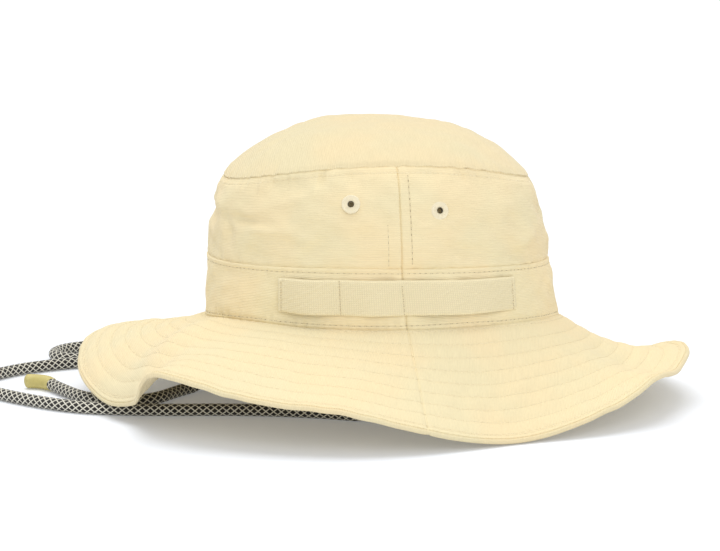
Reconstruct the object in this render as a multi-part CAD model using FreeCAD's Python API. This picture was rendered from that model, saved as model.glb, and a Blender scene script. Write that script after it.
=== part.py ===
"""Boonie hat: a soft cloth sun hat with a wavy quilted brim, branch loops, sewn eyelets and a braided chin cord.

Units are millimetres. +X is the front, +Y the wearer's left, +Z up. The origin is the centre of the hat's own
footprint (cords left out), level with the lowest points of the brim, which rest on the ground.
Azimuth is measured from the front towards the wearer's right: 0 front, 90 right, 180 rear, 270 left.
"""
import math
import os

import FreeCAD
import Part

V = FreeCAD.Vector

# ---------------------------------------------------------------- driving dimensions
CROWN_A = 103.0            # half length of the crown at the brim seam (head size 58 cm)
CROWN_B = 87.0             # half width of the crown at the brim seam
BAND_TOP_A = 98.8          # half length at the band's upper seam
BAND_TOP_B = 84.0
TIP_A = 88.0               # half length of the oval tip panel
TIP_B = 73.0
BAND_LEAN = -2.5           # how far the crown leans to the rear at the band's upper seam
TIP_LEAN = -3.5            # and at the tip seam
CROWN_TOP = 161.5          # height of the top of the dome
BRIM_WIDTH = 80.0          # brim panel, measured along the cloth
FABRIC = 1.0               # crown cloth
BRIM_PLY = 0.9             # upper and under brim cloth
INTERLINING = 0.5
PLY_GAP = 0.3              # room between sewn plies
WEBBING_THICK = 1.2
WEBBING_LOW = 0.25         # branch webbing, as a share of the band's height
WEBBING_HIGH = 0.83
WEBBING_TACKS = (50.0, 90.5, 110.2, 131.5)   # azimuths of the bar tacks, wearer's right
WEBBING_SLACK = (2.3, 1.4, 1.2)              # how far each loop stands off the band
EYELETS = ((76.5, 0.58), (106.3, 0.65))      # azimuth, share of the crown wall's height
EYELET_R = 5.2
EYELET_HOLE_R = 1.6
SWEATBAND_TOP = 0.76       # share of the band's height
CORD_R = 3.5               # braided round cord
TIP_R = 4.2                # moulded cord end
ORIGIN_SHIFT = V(-0.9, 0.5, 0.0)    # centres the footprint on the origin

# Crown-brim seam. Each station: azimuth in degrees (0 front, 90 the wearer's right), then its height.
SEAM = (
    (0, 45.5), (20, 49.0), (40, 51.5), (60, 53.4), (90, 54.0), (120, 54.3), (142, 55.0), (160, 53.2),
    (180, 50.0), (205, 46.8), (235, 46.0), (270, 46.0), (305, 44.2), (335, 42.8),
)

# Brim pose. Each station: azimuth, then the slope below horizontal (degrees) at the seam, mid width and edge.
BRIM = (
    (0, 38.4, 16.8, -22.8), (12, 35.0, 15.7, -14.4), (24, 40.3, 23.0, -13.4), (36, 40.4, 21.2, -13.0),
    (50, 41.6, 32.9, 7.0), (70, 45.0, 43.2, 25.5), (90, 33.9, 34.0, 26.0), (108, 21.4, 21.2, 20.7),
    (118, 16.5, 20.6, 19.8), (128, 10.8, 18.5, 17.4), (137, 11.0, 15.2, 9.6), (145, 9.5, 17.4, 5.8),
    (151, -0.5, 30.2, 38.6), (156, -5.9, 34.4, 65.5), (166, 10.0, 35.0, 55.5), (180, 17.2, 22.1, 45.9),
    (203, 26.5, 6.7, 26.2), (230, 32.0, 17.4, 15.4), (255, 29.2, 26.8, 25.9), (280, 29.6, 33.3, 33.4),
    (305, 29.6, 32.6, 32.2), (337, 31.4, 32.6, 7.6),
)

# Chin cord, wearer's right: from its anchor to the ground, out behind the hat, round, back through the lock and
# out to its tip. Points are the corners of the route.
LOCK = V(-95.0, 74.0, 14.0)        # middle of the cord lock, at the height of its two cord holes
LOCK_PITCH = 11.5                  # between the two cord holes
LOCK_HALF = V(14.5, 6.0, 0)        # half size of the lock body
LOCK_FOOT = 0.3                    # underside of the lock body
LOCK_TOP = 22.0
LOCK_BORE_R = 3.8
BUTTON_HALF = V(10.6, 3.5, 0)
BUTTON_CLEAR = 0.3
BUTTON_FOOT = 8.3
BUTTON_TOP = 28.0
PRESS = 4.0                        # stroke of the button
SPRING_FLOOR = 2.3
SPRING_R = 2.6
SPRING_WIRE_R = 0.35
ANCHOR_Z = 46.0                    # where a cord leaves its anchor tab
ANCHOR_INSET = 4.8                 # the tab's outer face, in from the crown's half width
X_IN = LOCK.x - LOCK_PITCH / 2
X_OUT = LOCK.x + LOCK_PITCH / 2
FLOOR = 3.6
CORD_RIGHT = (
    (0, -79.5, ANCHOR_Z), (0, -79.5, 24), (-18, -73, FLOOR), (-38, -61, FLOOR), (-66, -49.5, FLOOR),
    (-97, -42, FLOOR), (-128, -38.5, FLOOR), (-157, -32, FLOOR), (-184, -19.5, FLOOR), (-212, 9, FLOOR),
    (-232, 37, FLOOR), (-234, 67, FLOOR), (-212, 92.5, FLOOR), (-188, 105, FLOOR), (-165, 112, FLOOR),
    (-141, 115, FLOOR), (-116, 117, FLOOR), (X_IN, 98, LOCK.z), (X_IN, 50, LOCK.z), (-103, 30, FLOOR),
    (-119, 13, FLOOR), (-133, -7, FLOOR), (-152.5, -12.5, FLOOR), (-170.5, -1, FLOOR), (-181.5, 19, FLOOR),
    (-190.5, 40.5, 4.3),
)
CORD_LEFT = (
    (0, 79.5, ANCHOR_Z), (0, 79.5, 24), (-18, 85, FLOOR), (-42, 99, FLOOR), (-70, 118, FLOOR),
    (-98, 142, FLOOR), (-125, 160, FLOOR), (-153, 167, FLOOR), (-179, 158, FLOOR), (-189, 137, FLOOR),
    (-175, 119, FLOOR), (-145, 124.5, FLOOR), (-107, 128, FLOOR), (X_OUT, 99, LOCK.z),
    (X_OUT, 51, LOCK.z), (-87, 25, FLOOR), (-80, 1, 4.3),
)
TIP_RUNS_RIGHT = (12.0, 11.5)      # the right cord's tip is bent
TIP_BEND_RIGHT = 68.0              # degrees, to the left of the cord's direction
TIP_LENGTH_LEFT = 28.0


# ---------------------------------------------------------------- the hat's surfaces
def smooth(x):
    x = min(1.0, max(0.0, x))
    return x * x * (3.0 - 2.0 * x)


def at_station(table, a, column=1):
    """A table's column at azimuth a, interpolated smoothly and periodically between the stations."""
    deg = math.degrees(a) % 360.0
    n = len(table)
    k = max(i for i in range(n) if table[i][0] <= deg)

    def knot(i):
        turns, j = divmod(i, n)
        return table[j][0] + 360.0 * turns, table[j][column]

    (xa, ya), (xb, yb), (xc, yc), (xd, yd) = [knot(k + i) for i in (-1, 0, 1, 2)]

    def tangent(x0, y0, x1, y1, x2, y2):
        left = (y1 - y0) / (x1 - x0)
        right = (y2 - y1) / (x2 - x1)
        return (left * (x2 - x1) + right * (x1 - x0)) / (x2 - x0)

    mb = tangent(xa, ya, xb, yb, xc, yc)
    mc = tangent(xb, yb, xc, yc, xd, yd)
    h = xc - xb
    s = (deg - xb) / h
    return ((1 + 2 * s) * (1 - s) ** 2 * yb + s * (1 - s) ** 2 * h * mb
            + s * s * (3 - 2 * s) * yc + s * s * (s - 1) * h * mc)


def seam_z(a):
    """Height of the crown-brim seam at azimuth a (radians)."""
    return at_station(SEAM, a)


def band_height(a):
    far_side = min(0.0, math.sin(a))
    return 85.6 - 2.0 * math.cos(a) - 2.0 * math.cos(2 * a) - 4.0 * far_side ** 2 - seam_z(a)


def tip_seam_z(a):
    return 136.5 - 7.0 * math.cos(2 * a) - math.cos(a)


def outward(a):
    """Horizontal outward direction of the crown at azimuth a."""
    return V(math.cos(a) / CROWN_A, -math.sin(a) / CROWN_B, 0).normalize()


def oval(a, half_a, half_b, z, lean, offset):
    return V(lean + half_a * math.cos(a), -half_b * math.sin(a), z) + outward(a) * offset


def band_point(a, s, offset):
    """Band, from the brim seam (s=0) to its upper seam (s=1)."""
    k = max(0.0, s)
    half_a = CROWN_A + (BAND_TOP_A - CROWN_A) * k
    half_b = CROWN_B + (BAND_TOP_B - CROWN_B) * k
    return oval(a, half_a, half_b, seam_z(a) + band_height(a) * s, BAND_LEAN * k, offset)


def wall_point(a, s, offset):
    """Crown wall, from the band (s=0) to the tip seam (s=1)."""
    half_a = BAND_TOP_A + (TIP_A - BAND_TOP_A) * s ** 3 - math.sin(math.pi * s)
    half_b = BAND_TOP_B + (TIP_B - BAND_TOP_B) * s ** 3 + 0.5 * math.sin(math.pi * s)
    low = seam_z(a) + band_height(a)
    lean = BAND_LEAN + (TIP_LEAN - BAND_LEAN) * s
    return oval(a, half_a, half_b, low + (tip_seam_z(a) - low) * s, lean, offset)


def dome_z(x, y):
    """Top of the tip panel over the point (x, y)."""
    u = (x - TIP_LEAN) / TIP_A
    v = y / TIP_B
    r = math.sqrt(u * u + v * v)
    return CROWN_TOP - 25.0 * r ** 3 - 7.0 * r * (u * u - v * v) - r * r * u


def brim_profile(a, shares):
    """(reach, drop, slope) at each share of the brim's width, at azimuth a."""
    at_seam, middle, at_edge = [at_station(BRIM, a, c) for c in (1, 2, 3)]
    steps = 80
    reach = drop = 0.0
    table = [(0.0, 0.0, 0.0, math.radians(at_seam))]
    for i in range(steps):
        u = (i + 0.5) / steps
        slope = at_seam * 2 * (u - 0.5) * (u - 1) - 4 * middle * u * (u - 1) + at_edge * 2 * u * (u - 0.5)
        slope = math.radians(slope)
        reach += BRIM_WIDTH / steps * math.cos(slope)
        drop += BRIM_WIDTH / steps * math.sin(slope)
        table.append(((i + 1) / steps, reach, drop, slope))
    rows = []
    for t in shares:
        i = min(steps - 1, int(t * steps))
        k = t * steps - i
        rows.append([table[i][c] + k * (table[i + 1][c] - table[i][c]) for c in (1, 2, 3)])
    return rows


BRIM_SHARES = (0.0, 0.025, 0.07, 0.14, 0.23, 0.33, 0.43, 0.53, 0.63, 0.73, 0.82, 0.90, 0.955, 0.985, 1.0)


def brim_row(a, offset, edge_offset, clear=0.25):
    """Points across the brim at azimuth a, on a surface that lies offset above the brim's middle surface."""
    row = []
    for t, (reach, drop, slope) in zip(BRIM_SHARES, brim_profile(a, BRIM_SHARES)):
        lean = slope * smooth(t / 0.12)
        lift = offset + (edge_offset - offset) * smooth((t - 0.93) / 0.07)
        out = clear + reach + lift * math.sin(lean)
        foot = oval(a, CROWN_A, CROWN_B, seam_z(a) - drop + lift * math.cos(lean), 0.0, 0.0)
        row.append(foot + outward(a) * out)
    return row


# ---------------------------------------------------------------- solids from grids of points
def surface(grid):
    """Cubic B-spline surface with the grid as its control points."""
    def knots(n):
        return [float(i) for i in range(n - 2)], [4] + [1] * (n - 4) + [4]

    uk, um = knots(len(grid))
    vk, vm = knots(len(grid[0]))
    s = Part.BSplineSurface()
    s.buildFromPolesMultsKnots(grid, um, vm, uk, vk, False, False, 3, 3)
    return s


def slab(outer, inner):
    """Closed solid between two grids of points of the same size."""
    a = surface(outer)
    b = surface(inner)
    faces = [a.toShape(), b.toShape()]
    u0, u1, v0, v1 = a.bounds()
    for pick in ((lambda s: s.uIso(u0)), (lambda s: s.uIso(u1)), (lambda s: s.vIso(v0)), (lambda s: s.vIso(v1))):
        faces.append(Part.makeRuledSurface(pick(a).toShape(), pick(b).toShape()))
    shell = Part.makeShell(faces)
    shell.sewShape()
    solid = Part.makeSolid(shell)
    if solid.Volume < 0:
        solid.reverse()
    return solid


def azimuths(first, last, count):
    return [math.radians(first + (last - first) * i / (count - 1)) for i in range(count)]


def ring(point, first, last, count, shares, outer, inner):
    """Slab that follows point(azimuth, share, offset) between two azimuths and two offsets."""
    angles = azimuths(first, last, count)
    grids = [[[point(a, s, offset) for s in shares] for a in angles] for offset in (outer, inner)]
    return slab(*grids)


def spread(low, high, count):
    return [low + (high - low) * i / (count - 1) for i in range(count)]


def brim_ply(first, last, count, low, high, low_edge, high_edge):
    angles = azimuths(first, last, count)
    top = [brim_row(a, high, high_edge) for a in angles]
    bottom = [brim_row(a, low, low_edge) for a in angles]
    return slab(top, bottom)


def cloth_strip(first, last, count, rows, outer, inner):
    """Slab through rows of (point function, share)."""
    angles = azimuths(first, last, count)
    grids = [[[f(a, s, offset) for f, s in rows] for a in angles] for offset in (outer, inner)]
    return slab(*grids)


def mirror_y(shape):
    return shape.mirror(V(0, 0, 0), V(0, 1, 0))


# ---------------------------------------------------------------- cloth parts
FRONT = (-90.0, 90.0)
REAR = (90.0, 270.0)
COUNT = 61


def make_brim():
    half = INTERLINING / 2
    low = half + PLY_GAP
    high = low + BRIM_PLY
    parts = {}
    for name, (first, last) in (("front", FRONT), ("rear", REAR)):
        parts["upper_brim_" + name] = brim_ply(first, last, COUNT, low, high, 0.15, 0.75)
        parts["brim_interlining_" + name] = brim_ply(first, last, COUNT, -half, half, -0.05, 0.05)
        parts["under_brim_" + name] = brim_ply(first, last, COUNT, -high, -low, -0.75, -0.15)
    return parts


def make_crown():
    parts = {}
    low = -(INTERLINING / 2 + PLY_GAP + BRIM_PLY) / band_height(math.pi / 2)
    band_rows = [low, 0.0, 0.06, 0.15, 0.3, 0.5, 0.7, 0.85, 0.95, 1.0]
    wall_rows = [0.005] + spread(0.06, 0.94, 9) + [0.992]
    for name, (first, last) in (("front", FRONT), ("rear", REAR)):
        parts["hat_band_" + name] = ring(band_point, first, last, COUNT, band_rows, 0.0, -FABRIC)
        parts["crown_wall_" + name] = ring(wall_point, first, last, COUNT, wall_rows, 0.0, -FABRIC)
    for key, sign in (("front", 0), ("rear", 1)):
        share = EYELETS[sign][1]
        azimuth = EYELETS[sign][0]
        for side in (azimuth, 360.0 - azimuth):
            hole = eyelet_tool(side, share)
            parts["crown_wall_" + key] = parts["crown_wall_" + key].cut(hole).Solids[0]
    parts["crown_tip"] = make_tip()
    return parts


def make_tip():
    """Oval top panel, domed."""
    over = 6.0
    nx, ny = 33, 29
    xs = spread(TIP_LEAN - TIP_A - over, TIP_LEAN + TIP_A + over, nx)
    ys = spread(-TIP_B - over, TIP_B + over, ny)
    top = []
    bottom = []
    for x in xs:
        top.append([V(x, y, dome_z(x, y) + 0.1 + FABRIC * 1.25) for y in ys])
        bottom.append([V(x, y, dome_z(x, y) + 0.1) for y in ys])
    sheet = slab(top, bottom)
    rim = Part.Ellipse(V(TIP_LEAN, 0, 0), TIP_A, TIP_B).toShape()
    cutter = Part.Face(Part.Wire([rim])).extrude(V(0, 0, 200))
    return sheet.common(cutter).Solids[0]


def eyelet_frame(azimuth, share):
    """Centre on the wall's outer face, outward normal."""
    a = math.radians(azimuth)
    p = wall_point(a, share, 0)
    along = wall_point(a + 0.01, share, 0) - wall_point(a - 0.01, share, 0)
    up = wall_point(a, share + 0.01, 0) - wall_point(a, share - 0.01, 0)
    n = along.cross(up).normalize()
    if n.dot(outward(a)) < 0:
        n = -n
    return p, n


def eyelet_tool(azimuth, share):
    p, n = eyelet_frame(azimuth, share)
    return Part.makeCylinder(EYELET_HOLE_R + 0.5, 8.0, p - n * 5.0, n)


def make_eyelet(azimuth, share):
    """Overcast thread ring: outer flange, sleeve through the cloth and a smaller flange inside."""
    p, n = eyelet_frame(azimuth, share)
    body = Part.makeCylinder(EYELET_R, 0.6, p + n * 0.25, n)
    body = body.fuse(Part.makeCylinder(EYELET_HOLE_R + 0.3, 2.2, p - n * 1.6, n))
    body = body.fuse(Part.makeCylinder(4.0, 0.4, p - n * 1.9, n))
    hole = Part.makeCylinder(EYELET_HOLE_R, 8.0, p - n * 5.0, n)
    return body.cut(hole).removeSplitter().Solids[0]


def make_inside():
    """Sweatband, the tapes that cover the seams inside, and the two anchor tabs for the chin cord."""
    parts = {}
    rows = spread(-0.03, SWEATBAND_TOP, 7)
    parts["sweatband"] = ring(band_point, 180.3, 539.7, 121, rows, -FABRIC - 0.35, -2 * FABRIC - 0.35)
    rows = [(band_point, 0.86), (band_point, 0.91), (band_point, 0.96), (wall_point, 0.02), (wall_point, 0.06),
            (wall_point, 0.10)]
    parts["band_seam_tape"] = cloth_strip(180.3, 539.7, 121, rows, -FABRIC - 0.35, -FABRIC - 0.95)
    rows = [(wall_point, s) for s in spread(0.84, 0.955, 5)]
    parts["tip_seam_tape"] = cloth_strip(180.3, 539.7, 121, rows, -FABRIC - 0.35, -FABRIC - 0.95)
    rows = [(wall_point, s) for s in spread(0.13, 0.82, 8)]
    for side, middle in (("right", 90.0), ("left", 270.0)):
        tape = cloth_strip(middle - 3.5, middle + 3.5, 5, rows, -FABRIC - 0.35, -FABRIC - 0.95)
        parts["side_seam_tape_" + side] = tape
    tab_y = -(CROWN_B - ANCHOR_INSET)
    plate = Part.makeBox(12.0, 1.3, 22.0, V(-6.0, tab_y, ANCHOR_Z + 2.0))
    collar = Part.makeCylinder(CORD_R + 0.9, 8.0, V(0, -79.5, ANCHOR_Z), V(0, 0, 1))
    tab = plate.fuse(collar).removeSplitter().Solids[0]
    parts["cord_anchor_right"] = tab
    parts["cord_anchor_left"] = mirror_y(tab)
    return parts


def webbing_offset(azimuth):
    """Stand-off of the webbing's inner face from the band at an azimuth in degrees."""
    base = 0.3
    for low, high, slack in zip(WEBBING_TACKS, WEBBING_TACKS[1:], WEBBING_SLACK):
        if low <= azimuth <= high:
            return base + slack * math.sin(math.pi * (azimuth - low) / (high - low)) ** 2
    return base


def make_webbing():
    parts = {}
    low_end = WEBBING_TACKS[0] - 1.2
    high_end = WEBBING_TACKS[-1] + 1.2
    angles = spread(low_end, high_end, 84)
    rows = spread(WEBBING_LOW, WEBBING_HIGH, 5)
    tack_rows = spread(WEBBING_LOW + 0.02, WEBBING_HIGH - 0.02, 5)
    for side, turned in (("right", False), ("left", True)):

        def place(d, s, offset):
            return band_point(math.radians(360.0 - d if turned else d), s, offset)

        def strip(degrees, shares, lifts):
            degrees = degrees[::-1] if turned else degrees
            return slab(*[[[place(d, s, lift(d)) for s in shares] for d in degrees] for lift in lifts])

        outer = lambda d: webbing_offset(d) + WEBBING_THICK
        parts["branch_webbing_" + side] = strip(angles, rows, (outer, webbing_offset))
        top = lambda d: 0.3 + WEBBING_THICK + 0.75
        foot = lambda d: 0.3 + WEBBING_THICK + 0.2
        tacks = [strip(spread(d - 0.55, d + 0.55, 4), tack_rows, (top, foot)) for d in WEBBING_TACKS]
        parts["bar_tacks_" + side] = Part.makeCompound(tacks)
    return parts


# ---------------------------------------------------------------- cords
def route(points):
    """Straight runs joined by tangent arcs; returns the wire, its radii and the end directions."""
    pts = [V(*p) for p in points]
    edges = []
    radii = []
    start = pts[0]
    for i in range(1, len(pts) - 1):
        before = (pts[i] - pts[i - 1])
        after = (pts[i + 1] - pts[i])
        cut = 0.45 * min(before.Length, after.Length)
        d0 = V(before).normalize()
        d1 = V(after).normalize()
        half_turn = d0.getAngle(d1) / 2
        radii.append(cut / math.tan(half_turn))
        a = pts[i] - d0 * cut
        b = pts[i] + d1 * cut
        inward = (d1 - d0).normalize()
        centre = pts[i] + inward * (cut / math.sin(half_turn))
        middle = centre - inward * radii[-1]
        edges.append(Part.LineSegment(start, a).toShape())
        edges.append(Part.Arc(a, middle, b).toShape())
        start = b
    edges.append(Part.LineSegment(start, pts[-1]).toShape())
    return Part.Wire(edges), radii


def tube(points, radius, label):
    wire, radii = route(points)
    direction = (V(*points[1]) - V(*points[0])).normalize()
    section = Part.Wire([Part.makeCircle(radius, V(*points[0]), direction)])
    solid = wire.makePipeShell([section], True, False)
    ideal = math.pi * radius ** 2 * wire.Length
    print("%s: length %.1f mm, arc radii %s, volume / (section x length) %.4f" % (
        label, wire.Length, [round(r, 1) for r in radii], solid.Volume / ideal))
    return solid, wire


def cord_tip(cord_points, runs, bend):
    """Moulded end sleeve that starts at the cord's cut face; bend in degrees to the left."""
    p0 = V(*cord_points[-1])
    d = (p0 - V(*cord_points[-2])).normalize()
    p1 = p0 + d * runs[0]
    if bend:
        angle = math.radians(bend)
        level = V(d.x, d.y, 0).normalize()
        turned = V(level.x * math.cos(angle) - level.y * math.sin(angle),
                   level.x * math.sin(angle) + level.y * math.cos(angle), -0.01).normalize()
        return [tuple(p) for p in (p0, p1, p1 + turned * runs[1])]
    return [tuple(p) for p in (p0, p1)]


def make_cords():
    parts = {}
    wires = []
    for side, points in (("right", CORD_RIGHT), ("left", CORD_LEFT)):
        solid, wire = tube(points, CORD_R, "cord_" + side)
        parts["cord_" + side] = solid
        wires.append(wire)
    right = cord_tip(CORD_RIGHT, TIP_RUNS_RIGHT, TIP_BEND_RIGHT)
    parts["cord_tip_right"], _ = tube(right, TIP_R, "cord_tip_right")
    p0, p1 = [V(*p) for p in cord_tip(CORD_LEFT, (TIP_LENGTH_LEFT,), 0.0)]
    level = V(p1.x, p1.y, p0.z) - p0
    parts["cord_tip_left"] = Part.makeCylinder(TIP_R, TIP_LENGTH_LEFT, p0, level)
    samples = [w.discretize(Distance=3.0) for w in wires]
    close = min((p - q).Length for p in samples[0] for q in samples[1])
    print("closest approach of the two cords' centre lines: %.2f mm" % close)
    return parts


# ---------------------------------------------------------------- cord lock
def make_lock():
    """Twin-hole lock: housing, sprung button with two slots, coil spring under the button."""
    c = V(LOCK.x, LOCK.y, 0)
    body = Part.makeBox(2 * LOCK_HALF.x, 2 * LOCK_HALF.y, LOCK_TOP - LOCK_FOOT,
                        c - LOCK_HALF + V(0, 0, LOCK_FOOT))
    upright = [e for e in body.Edges if abs(e.tangentAt(e.FirstParameter).z) > 0.9]
    body = body.makeFillet(3.5, upright)
    rim = [e for e in body.Edges if e.BoundBox.ZMin > LOCK_TOP - 0.01 or e.BoundBox.ZMax < LOCK_FOOT + 0.01]
    body = body.makeFillet(1.2, rim)
    pocket_half = BUTTON_HALF + V(BUTTON_CLEAR, BUTTON_CLEAR, 0)
    pocket = Part.makeBox(2 * pocket_half.x, 2 * pocket_half.y, LOCK_TOP, c - pocket_half + V(0, 0, SPRING_FLOOR))
    body = body.cut(pocket)
    button = Part.makeBox(2 * BUTTON_HALF.x, 2 * BUTTON_HALF.y, BUTTON_TOP - BUTTON_FOOT,
                          c - BUTTON_HALF + V(0, 0, BUTTON_FOOT))
    crown = [e for e in button.Edges if e.BoundBox.ZMin > BUTTON_TOP - 0.01]
    button = button.makeFillet(1.6, crown)
    for x in (X_IN, X_OUT):
        start = V(x, LOCK.y - 20.0, LOCK.z)
        bore = Part.makeCylinder(LOCK_BORE_R, 40.0, start, V(0, 1, 0))
        body = body.cut(bore)
        raised = bore.translated(V(0, 0, PRESS))
        bridge = Part.makeBox(2 * LOCK_BORE_R, 40.0, PRESS, start - V(LOCK_BORE_R, 0, 0))
        for tool in (bore, raised, bridge):
            button = button.cut(tool)
    for i in range(3):
        groove = Part.makeCylinder(0.6, 12.0, c + V(-5.0 + 5.0 * i, -6.0, BUTTON_TOP + 0.25), V(0, 1, 0))
        button = button.cut(groove)
    height = BUTTON_FOOT - SPRING_FLOOR - 2 * SPRING_WIRE_R - 0.1
    helix = Part.makeHelix(height / 3.5, height, SPRING_R)
    helix.translate(V(LOCK.x, LOCK.y, SPRING_FLOOR + SPRING_WIRE_R + 0.05))
    edge = helix.Edges[0]
    start = edge.valueAt(edge.FirstParameter)
    section = Part.Wire([Part.makeCircle(SPRING_WIRE_R, start, edge.tangentAt(edge.FirstParameter))])
    spring = Part.Wire(helix.Edges).makePipeShell([section], True, True)
    return {
        "lock_body": body.Solids[0],
        "lock_button": button.removeSplitter().Solids[0],
        "lock_spring": spring,
    }


# ---------------------------------------------------------------- build
def build():
    parts = {}
    parts.update(make_brim())
    parts.update(make_crown())
    parts.update(make_inside())
    parts.update(make_webbing())
    for name, (azimuth, share) in zip(("front", "rear"), EYELETS):
        parts["eyelet_right_" + name] = make_eyelet(azimuth, share)
        parts["eyelet_left_" + name] = make_eyelet(360.0 - azimuth, share)
    parts.update(make_cords())
    parts.update(make_lock())
    os.makedirs("parts", exist_ok=True)
    hat = FreeCAD.BoundBox()
    for name, shape in parts.items():
        shape.translate(ORIGIN_SHIFT)
        shape.exportStep("parts/%s.step" % name)
        box = shape.BoundBox
        if not name.startswith(("cord_right", "cord_left", "cord_tip", "lock_")):
            hat.add(box)
        print("%-24s valid %s, solids %d, %.0f mm3, z %.2f to %.2f" % (
            name, shape.isValid(), len(shape.Solids), shape.Volume, box.ZMin, box.ZMax))
    print("hat box x %.1f %.1f y %.1f %.1f z %.2f %.2f" % (
        hat.XMin, hat.XMax, hat.YMin, hat.YMax, hat.ZMin, hat.ZMax))


build()
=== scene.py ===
"""Boonie hat: the visual model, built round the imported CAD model.

The hat's surfaces are written as functions of azimuth (0 front, 90 the wearer's right, 180 rear) in millimetres, in
the hat's own axes: +X front, +Y the wearer's left, +Z up. metres() carries them into the frame.
"""
import math

import bmesh
import bpy
import numpy as np
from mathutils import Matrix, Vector


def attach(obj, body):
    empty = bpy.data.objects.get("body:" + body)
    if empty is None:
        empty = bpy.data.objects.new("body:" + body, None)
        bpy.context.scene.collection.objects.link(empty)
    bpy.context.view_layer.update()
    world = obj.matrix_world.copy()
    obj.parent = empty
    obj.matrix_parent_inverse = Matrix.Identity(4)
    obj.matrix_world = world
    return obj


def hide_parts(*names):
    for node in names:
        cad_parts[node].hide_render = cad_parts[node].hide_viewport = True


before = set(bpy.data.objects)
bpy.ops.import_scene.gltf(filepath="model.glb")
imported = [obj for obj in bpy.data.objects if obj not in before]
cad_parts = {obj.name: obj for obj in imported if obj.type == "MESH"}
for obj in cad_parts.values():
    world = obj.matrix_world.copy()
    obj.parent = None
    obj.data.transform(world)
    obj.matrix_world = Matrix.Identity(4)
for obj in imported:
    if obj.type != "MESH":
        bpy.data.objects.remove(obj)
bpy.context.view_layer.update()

ORIGIN_SHIFT = np.array([-0.9, 0.5, 0.0])

# ---- the hat's dimensions, as in the CAD
CROWN_A = 103.0            # half length and half width at the brim seam
CROWN_B = 87.0
CROWN_MEAN = (CROWN_A + CROWN_B) / 2
BAND_TOP_A = 98.8
BAND_TOP_B = 84.0
TIP_A = 88.0
TIP_B = 73.0
BAND_LEAN = -2.5
TIP_LEAN = -3.5
CROWN_TOP = 161.5
BAND_HEIGHT = 34.0         # mean heights along the cloth
WALL_HEIGHT = 50.0
WALL_MEAN = 93.0           # mean radius of the wall
BRIM_WIDTH = 80.0
FABRIC = 1.0
LINING_OFFSET = -1.35      # outer face of the tapes and the sweatband, from the crown's outer face
WEBBING_THICK = 1.2
WEBBING_WIDTH = 20.0
WARP_PITCH = 1.15
WEFT_PITCH = 1.05
WEBBING_LOW = 0.25
WEBBING_HIGH = 0.83
WEBBING_TACKS = (50.0, 90.5, 110.2, 130.2)
WEBBING_SLACK = (2.3, 1.5, 2.0)
EYELETS = (("front", 76.5, 0.58), ("rear", 106.3, 0.65))
EYELET_HOLE_R = 1.6
SWEATBAND_TOP = 0.76
CORD_R = 3.5
TIP_R = 4.2

# azimuth and height of the seam between crown and brim
SEAM = np.array((
    (0, 45.5), (20, 49.0), (40, 51.5), (60, 53.4), (90, 54.0), (120, 54.3), (142, 55.0), (160, 53.2),
    (180, 50.0), (205, 46.8), (235, 46.0), (270, 46.0), (305, 44.2), (335, 42.8),
), float)
# azimuth, then the brim's slope below horizontal in degrees at the seam, mid width and edge
BRIM = np.array((
    (0, 38.4, 16.8, -22.8), (12, 35.0, 15.7, -14.4), (24, 40.3, 23.0, -13.4), (36, 40.4, 21.2, -13.0),
    (50, 41.6, 32.9, 7.0), (70, 45.0, 43.2, 25.5), (90, 33.9, 34.0, 26.0), (108, 21.4, 21.2, 20.7),
    (118, 16.5, 20.6, 19.8), (128, 10.8, 18.5, 17.4), (137, 11.0, 15.2, 9.6), (145, 9.5, 17.4, 5.8),
    (151, -0.5, 30.2, 38.6), (156, -5.9, 34.4, 65.5), (166, 10.0, 35.0, 55.5), (180, 17.2, 22.1, 45.9),
    (203, 26.5, 6.7, 26.2), (230, 32.0, 17.4, 15.4), (255, 29.2, 26.8, 25.9), (280, 29.6, 33.3, 33.4),
    (305, 29.6, 32.6, 32.2), (337, 31.4, 32.6, 7.6),
), float)

# sewing
ROW_PITCH = 9.0            # between the brim's quilting rows
FIRST_ROW = 2.5
ROWS = 9
EDGE_ROW = 75.6            # last row, beside the turned edge
STITCH_PITCH = 3.3
STITCH_LENGTH = 2.9
THREAD_R = 0.20

FRONT = (-90.0, 90.0)
REAR = (90.0, 270.0)
HALVES = (("front", FRONT), ("rear", REAR))


def metres(points):
    return (np.asarray(points) + ORIGIN_SHIFT) * 0.001


# ---- smooth random relief
def stacked(*values):
    """Arrays of x, y, z or of u, v as one array of points."""
    return np.stack(np.broadcast_arrays(*values), -1)


def ease(x):
    x = np.clip(x, 0.0, 1.0)
    return x * x * (3.0 - 2.0 * x)


def bump(distance, width):
    return np.exp(-(distance / width) ** 2)


def ripple(points, low, high, seed, count=14):
    """Smooth random field with a spread of about 0.5, made of plane waves low to high mm long."""
    rng = np.random.default_rng(seed)
    total = np.zeros(points.shape[:-1])
    for _ in range(count):
        direction = rng.normal(size=3)
        direction *= 2 * math.pi / rng.uniform(low, high) / np.linalg.norm(direction)
        total += np.sin(points @ direction + rng.uniform(0, 2 * math.pi))
    return total * 0.5 / math.sqrt(count / 2)


def pucker(along, low, high, seed, count=9):
    """Small random gathers along a seam, from the distance along it in mm."""
    rng = np.random.default_rng(seed)
    total = np.zeros_like(along)
    for _ in range(count):
        total += np.sin(along * 2 * math.pi / rng.uniform(low, high) + rng.uniform(0, 2 * math.pi))
    return total / math.sqrt(count)


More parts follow.
